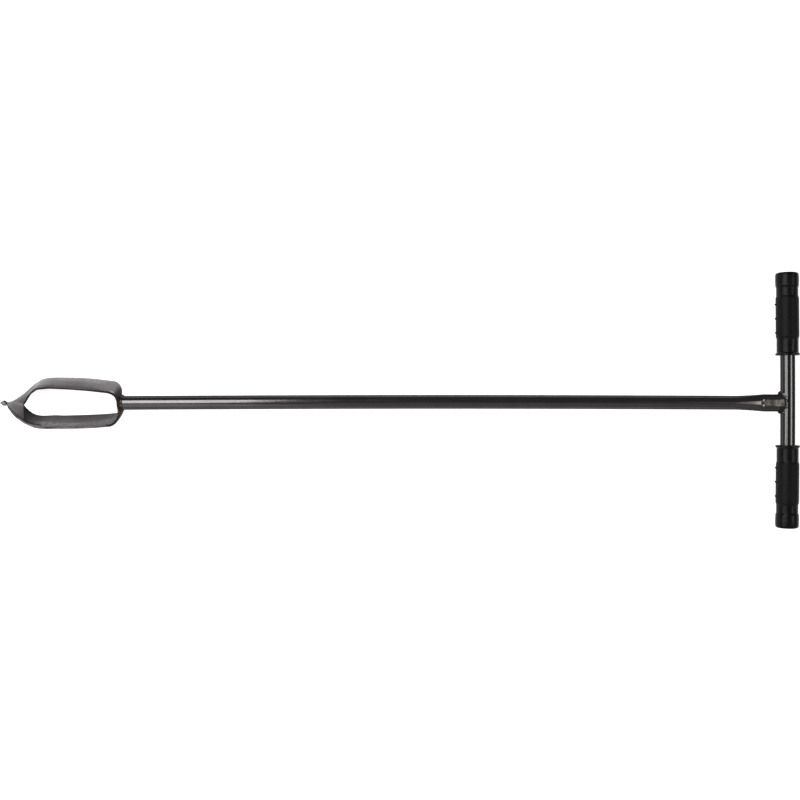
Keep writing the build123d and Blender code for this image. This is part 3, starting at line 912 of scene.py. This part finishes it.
class Finish:
    """A procedural material: short calls that add nodes and link them."""

    def __init__(self, name):
        self.material = bpy.data.materials.new(name)
        self.material.use_nodes = True
        self.tree = self.material.node_tree
        self.tree.nodes.clear()
        self.output = self.tree.nodes.new("ShaderNodeOutputMaterial")

    def add(self, kind, inputs=None, **settings):
        node = self.tree.nodes.new("ShaderNode" + kind)
        for key, value in settings.items():
            setattr(node, key, value)
        for key, value in (inputs or {}).items():
            if isinstance(value, bpy.types.NodeSocket):
                self.tree.links.new(value, node.inputs[key])
            else:
                node.inputs[key].default_value = value
        return node

    def place(self):
        return self.add("TexCoord").outputs["Object"]

    def lengths(self, along, around):
        """Coordinates along and round the piece, each stretched by a factor."""
        source = self.add("UVMap", uv_map="lengths").outputs["UV"]
        return self.add("Mapping", {"Vector": source, "Scale": (along, around, 1.0)}).outputs["Vector"]

    def noise(self, vector, scale, detail, roughness=0.55):
        values = {"Vector": vector, "Scale": scale, "Detail": detail, "Roughness": roughness}
        return self.add("TexNoise", values).outputs["Fac"]

    def ramp(self, value, *stops):
        """Number or colour that follows a value through stops of (position, number or colour)."""
        node = self.add("ValToRGB", {"Fac": value})
        ramp = node.color_ramp
        for index, (position, shade) in enumerate(stops):
            stop = ramp.elements[index] if index < 2 else ramp.elements.new(position)
            stop.position = position
            colour = (shade,) * 3 if isinstance(shade, float) else shade
            stop.color = (*colour, 1.0)
        return node.outputs["Color"]

    def blend(self, share, under, colour):
        """A share of one fixed colour over what lies under it."""
        values = {0: share, 6: under, 7: (*colour, 1.0)}
        return self.add("Mix", values, data_type="RGBA").outputs[2]

    def math(self, operation, first, second):
        return self.add("Math", {0: first, 1: second}, operation=operation).outputs[0]

    def bump(self, height, distance, strength, normal=None):
        values = {"Height": height, "Distance": distance, "Strength": strength}
        if normal:
            values["Normal"] = normal
        return self.add("Bump", values).outputs["Normal"]

    def marks(self):
        """The three shares that are stored on the mesh."""
        stored = self.add("Attribute", attribute_name="marks").outputs["Vector"]
        return self.add("SeparateXYZ", {0: stored}).outputs[:]

    def finish(self, **inputs):
        """Shader with its inputs named in lower case, as the last call of a material."""
        named = {}
        for key, value in inputs.items():
            named[key.replace("_", " ").title().replace("Ior", "IOR")] = value
        shader = self.add("BsdfPrincipled", named)
        self.tree.links.new(shader.outputs["BSDF"], self.output.inputs["Surface"])
        return self.material


def blade_steel():
    """Satin rolled steel with roll lines, cloudy oxide, burn and painted shade, scaled edges, grinding
    marks and painted highlights.
    """
    f = Finish("blade_steel")
    shade_and_burn, scale, ground = f.marks()
    clouds = f.noise(f.place(), 38.0, 5.0)
    lines = f.noise(f.lengths(9.0, 420.0), 1.0, 6.0, 0.65)
    scuffs = f.noise(f.lengths(60.0, 900.0), 1.0, 3.0)
    pits = f.noise(f.place(), 900.0, 3.0)
    nicks = f.noise(f.place(), 330.0, 2.0)
    strokes = f.noise(f.lengths(260.0, 60.0), 1.0, 4.0, 0.7)
    dabs = f.noise(f.lengths(150.0, 330.0), 1.0, 2.0)
    base = f.ramp(clouds, (0.3, (0.108, 0.099, 0.102)), (0.7, (0.152, 0.141, 0.146)))
    lined = f.blend(f.ramp(lines, (0.38, 0.0), (0.68, 0.65)), base, (0.200, 0.186, 0.193))
    burnt = f.noise(f.lengths(70.0, 260.0), 1.0, 4.0, 0.6)
    # the first mark: painted shade inside the blades and along their edges, and burn on the flange and the
    # bend
    shaded_and_burnt = f.math("MULTIPLY", shade_and_burn, f.ramp(burnt, (0.35, 1.0), (0.65, 0.85)))
    dull = f.blend(shaded_and_burnt, lined, (0.0036, 0.0028, 0.0026))
    # the third mark: grinding, and painted highlights at the crease, at the bend's corner and on the lip
    bright = f.math("MULTIPLY", ground, f.ramp(strokes, (0.42, 0.2), (0.62, 1.0)))
    scraped = f.blend(bright, dull, (0.31, 0.295, 0.30))
    # the second mark: scale, and painted shade on the blades' edges
    scaly = f.ramp(f.math("SUBTRACT", scale, dabs), (0.03, 0.0), (0.2, 1.0))
    scaled = f.blend(scaly, scraped, (0.016, 0.013, 0.012))
    colour = f.blend(f.ramp(nicks, (0.71, 0.0), (0.76, 0.6)), scaled, (0.40, 0.38, 0.37))
    bare = f.ramp(f.math("MAXIMUM", shaded_and_burnt, scaly), (0.0, 0.9), (1.0, 0.05))
    satin = f.ramp(scuffs, (0.3, 0.36), (0.7, 0.50))
    rough = f.math("MAXIMUM", satin, f.ramp(shaded_and_burnt, (0.4, 0.3), (1.0, 0.65)))
    height = f.bump(lines, 0.00010, 0.35)
    height = f.bump(pits, 0.00008, 0.25, height)
    height = f.bump(f.math("MULTIPLY", ground, strokes), 0.0002, 0.4, height)
    height = f.bump(f.noise(f.place(), 120.0, 2.0), 0.0004, 0.15, height)
    tinted = (0.85, 0.85, 0.85, 1.0)
    return f.finish(
        base_color=colour,
        metallic=bare,
        roughness=rough,
        specular_ior_level=0.06,
        specular_tint=tinted,
        normal=height,
    )


def shaft_paint():
    """Glossy dark paint with lines along the drawn tube, rubbed through where the die pressed it, and with
    painted highlights at the die's step and on the flare's crest.
    """
    f = Finish("shaft_paint")
    flat, edge, dull = f.marks()
    clouds = f.noise(f.place(), 22.0, 4.0)
    marks = f.noise(f.lengths(14.0, 600.0), 1.0, 5.0, 0.6)
    peel = f.noise(f.place(), 520.0, 2.0)
    patches = f.noise(f.place(), 130.0, 3.0, 0.5)
    base = f.ramp(clouds, (0.3, (0.061, 0.0565, 0.058)), (0.7, (0.073, 0.068, 0.070)))
    marked = f.blend(f.ramp(marks, (0.55, 0.0), (0.8, 0.35)), base, (0.11, 0.103, 0.105))
    worn = f.math("MULTIPLY", flat, f.ramp(patches, (0.3, 0.3), (0.7, 1.0)))
    rubbed = f.ramp(worn, (0.12, 0.0), (0.85, 0.9))
    # the second mark: bare die lines and the crest's tint, partly painted highlights
    rubbed = f.math("MAXIMUM", rubbed, f.math("MULTIPLY", edge, f.ramp(patches, (0.3, 0.6), (0.6, 1.0))))
    colour = f.blend(rubbed, marked, (0.25, 0.225, 0.19))
    rough = f.math("MAXIMUM", f.ramp(marks, (0.3, 0.10), (0.75, 0.22)), f.math("MULTIPLY", dull, 0.48))
    height = f.bump(peel, 0.00012, 0.2)
    height = f.bump(marks, 0.00008, 0.2, height)
    height = f.bump(f.math("MULTIPLY", flat, f.noise(f.place(), 260.0, 3.0)), 0.0004, 0.3, height)
    tinted = (0.12, 0.112, 0.113, 1.0)
    metal = f.ramp(rubbed, (0.0, 0.9), (0.5, 0.25))
    return f.finish(base_color=colour, metallic=metal, roughness=rough, specular_tint=tinted, normal=height)


def zinc_plate():
    """Bright plated tube with fine draw lines along it and small dull spots."""
    f = Finish("zinc_plate")
    lines = f.noise(f.lengths(5.0, 900.0), 1.0, 6.0, 0.7)
    spots = f.noise(f.place(), 240.0, 3.0)
    tint = f.noise(f.place(), 30.0, 3.0)
    base = f.ramp(
        tint,
        (0.3, (0.035, 0.037, 0.038)),
        (0.5, (0.042, 0.041, 0.039)),
        (0.7, (0.037, 0.040, 0.041)),
    )
    colour = f.blend(f.ramp(spots, (0.6, 0.0), (0.75, 0.5)), base, (0.024, 0.023, 0.022))
    rough = f.ramp(lines, (0.3, 0.10), (0.75, 0.24))
    height = f.bump(lines, 0.00005, 0.25)
    tinted = (0.30, 0.30, 0.30, 1.0)
    return f.finish(base_color=colour, metallic=0.92, roughness=rough, specular_tint=tinted, normal=height)


def grip_rubber():
    """Black rubber with a fine moulded grain and a little dust, smoother at its ends."""
    f = Finish("grip_rubber")
    grain = f.noise(f.place(), 1500.0, 2.0)
    dust = f.noise(f.place(), 70.0, 5.0, 0.65)
    base = f.ramp(dust, (0.4, (0.0018, 0.0018, 0.0018)), (0.75, (0.0042, 0.0042, 0.0043)))
    gloss = f.marks()[0]
    matt = f.ramp(dust, (0.35, 0.46), (0.7, 0.58))
    rough = f.math("SUBTRACT", matt, f.math("MULTIPLY", gloss, 0.17))
    height = f.bump(grain, 0.00006, 0.3)
    return f.finish(base_color=base, roughness=rough, specular_ior_level=0.085, normal=height)


def weld_metal(name, bright):
    """Weld bead: dark crust, brown where it is rubbed and bare bright metal where it is worn."""
    f = Finish(name)
    crust = f.noise(f.place(), 420.0, 4.0)
    patches = f.noise(f.place(), 170.0, 3.0)
    base = f.ramp(crust, (0.35, (0.003, 0.0026, 0.0024)), (0.65, (0.012, 0.0105, 0.0095)))
    worn, rubbed, _ = f.marks()
    lumps = f.noise(f.place(), 330.0, 2.0)
    bare = f.math("MULTIPLY", worn, f.ramp(lumps, (0.48, 0.04), (0.62, 1.0)))
    thin = f.math("MULTIPLY", rubbed, f.ramp(patches, (0.35, 0.2), (0.6, 0.8)))
    brown = f.blend(thin, base, (0.21, 0.19, 0.16))
    colour = f.blend(bare, brown, bright)
    rough = f.ramp(bare, (0.0, 0.5), (0.8, 0.42))
    height = f.bump(crust, 0.0006, 0.5)
    metal = f.math("MULTIPLY", bare, 0.4)
    return f.finish(
        base_color=colour, metallic=metal, roughness=rough, specular_ior_level=0.05, normal=height
    )


# The pieces

noise.seed_set(FORGING_SEED)
blade_finish = blade_steel()
rubber_finish = grip_rubber()
fit(blade("blade_upper", UPPER, 1), "upper_blade", blade_finish)
fit(blade("blade_lower", LOWER, -1), "lower_blade", blade_finish)
fit(screw_point("point_screw"), "screw_point", blade_finish)
fit(shaft("shaft"), "shaft_tube", shaft_paint())
fit(cross_tube("crossbar"), "cross_tube", zinc_plate())
fit(grip("grip_upper", 1), "upper_grip", rubber_finish)
fit(grip("grip_lower", -1), "lower_grip", rubber_finish)
handle_finish = weld_metal("handle_weld", (0.26, 0.263, 0.267))
yoke_finish = weld_metal("yoke_weld", (0.22, 0.175, 0.145))
fit(handle_weld("weld_handle"), "handle_weld", handle_finish)
fit(yoke_weld("weld_yoke"), "yoke_weld", yoke_finish)


# Floor, light and camera

FLOOR_HALF = 9.0
FLOOR_WHITE = 0.8  # share of the white floor that its own glow gives, the rest is lit
ROOM_GREY = 0.13
WALL_GREY = 0.58
CAMERA_ALONG = 0.6332  # from the point, in metres
CAMERA_ASIDE = 0.0046
CAMERA_HEIGHT = 1.504  # above the shaft's axis
CAMERA_SENSOR = 36.0
CAMERA_LENS = 42.75


def lowest_point(node):
    return min((v.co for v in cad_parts[node].data.vertices), key=lambda point: point.z)


def floor():
    """Pale floor under the tool, sloped so that it meets both the head and the grips."""
    head = lowest_point("lower_blade")
    grip_low = lowest_point("lower_grip")
    slope = (grip_low.z - head.z) / (grip_low.x - head.x)
    corners = []
    for x, y in ((-1, -1), (1, -1), (1, 1), (-1, 1)):
        x *= FLOOR_HALF
        corners.append((x, y * FLOOR_HALF, head.z + slope * (x - head.x)))
    mesh = bpy.data.meshes.new("floor")
    mesh.from_pydata(corners, [], [(0, 1, 2, 3)])
    plane = bpy.data.objects.new("floor", mesh)
    bpy.context.scene.collection.objects.link(plane)
    f = Finish("floor")
    rays = f.add("LightPath").outputs
    seen = f.math("MAXIMUM", rays["Is Camera Ray"], rays["Is Glossy Ray"])
    seen = f.math("MAXIMUM", seen, rays["Is Transmission Ray"])
    lit = f.add("BsdfDiffuse", {"Color": (0.5, 0.5, 0.5, 1.0)}).outputs[0]
    glow = f.add("Emission", {"Color": (1.0, 1.0, 1.0, 1.0), "Strength": FLOOR_WHITE}).outputs[0]
    shown = f.add("AddShader", {0: lit, 1: glow}).outputs[0]
    plain = f.add("BsdfDiffuse", {"Color": (0.8, 0.8, 0.8, 1.0)}).outputs[0]
    mixed = f.add("MixShader", {0: seen, 1: plain, 2: shown}).outputs[0]
    f.tree.links.new(mixed, f.output.inputs["Surface"])
    mesh.materials.append(f.material)


def softbox(name, place, aim, width, depth, power):
    """Rectangular lamp whose width lies across the shaft."""
    light = bpy.data.lights.new(name, "AREA")
    light.shape = "RECTANGLE"
    light.size = width
    light.size_y = depth
    light.energy = power
    lamp = bpy.data.objects.new(name, light)
    bpy.context.scene.collection.objects.link(lamp)
    back = (Vector(place) - Vector(aim)).normalized()
    across = (Vector((0, 1, 0)) - back * back.y).normalized()
    turn = Matrix((across, back.cross(across), back)).transposed()
    lamp.matrix_world = Matrix.Translation(Vector(place)) @ turn.to_4x4()
    lamp.visible_camera = False


def studio_world():
    """Dim room with a pale wall towards -Y."""
    world = bpy.data.worlds.new("studio")
    bpy.context.scene.world = world
    world.use_nodes = True
    tree = world.node_tree
    tree.nodes.clear()
    output = tree.nodes.new("ShaderNodeOutputWorld")
    background = tree.nodes.new("ShaderNodeBackground")
    direction = tree.nodes.new("ShaderNodeTexCoord")
    split = tree.nodes.new("ShaderNodeSeparateXYZ")
    front = tree.nodes.new("ShaderNodeMapRange")
    ramp = tree.nodes.new("ShaderNodeValToRGB")
    front.inputs["From Min"].default_value = 0.25
    front.inputs["From Max"].default_value = -0.9
    for stop, position, grey in zip(ramp.color_ramp.elements, (0.22, 0.7), (ROOM_GREY, WALL_GREY)):
        stop.position = position
        stop.color = (grey, grey, grey, 1.0)
    tree.links.new(direction.outputs["Generated"], split.inputs[0])
    tree.links.new(split.outputs["Y"], front.inputs["Value"])
    tree.links.new(front.outputs["Result"], ramp.inputs["Fac"])
    tree.links.new(ramp.outputs["Color"], background.inputs["Color"])
    tree.links.new(background.outputs["Background"], output.inputs["Surface"])


def camera():
    """Straight above the middle of the tool, as far as the picture's perspective shows."""
    data = bpy.data.cameras.new("camera")
    data.sensor_width = CAMERA_SENSOR
    data.lens = CAMERA_LENS
    data.clip_start = 0.01
    eye = bpy.data.objects.new("camera", data)
    bpy.context.scene.collection.objects.link(eye)
    eye.location = (POINT_X + CAMERA_ALONG, CAMERA_ASIDE, AXIS_Z + CAMERA_HEIGHT)
    bpy.context.scene.camera = eye


floor()
studio_world()
softbox("left_softbox", (-2.7, 0.0, 2.25), (0.1, 0.0, 0.0), width=1.8, depth=1.1, power=60.0)
softbox("top_softbox", (-1.15, 0.75, 2.5), (-0.4, 0.0, 0.0), width=2.1, depth=1.1, power=69.0)
softbox("right_softbox", (3.1, 0.0, 3.15), (0.3, 0.0, 0.0), width=1.1, depth=1.5, power=51.0)
softbox("front_softbox", (-0.9, -1.45, 1.45), (-0.35, 0.0, 0.0), width=2.1, depth=0.8, power=6.0)
softbox("rear_softbox", (1.38, 0.0, 2.6), (0.5, 0.0, 0.0), width=0.35, depth=0.28, power=0.3)
camera()
bpy.context.scene.view_settings.view_transform = "Standard"
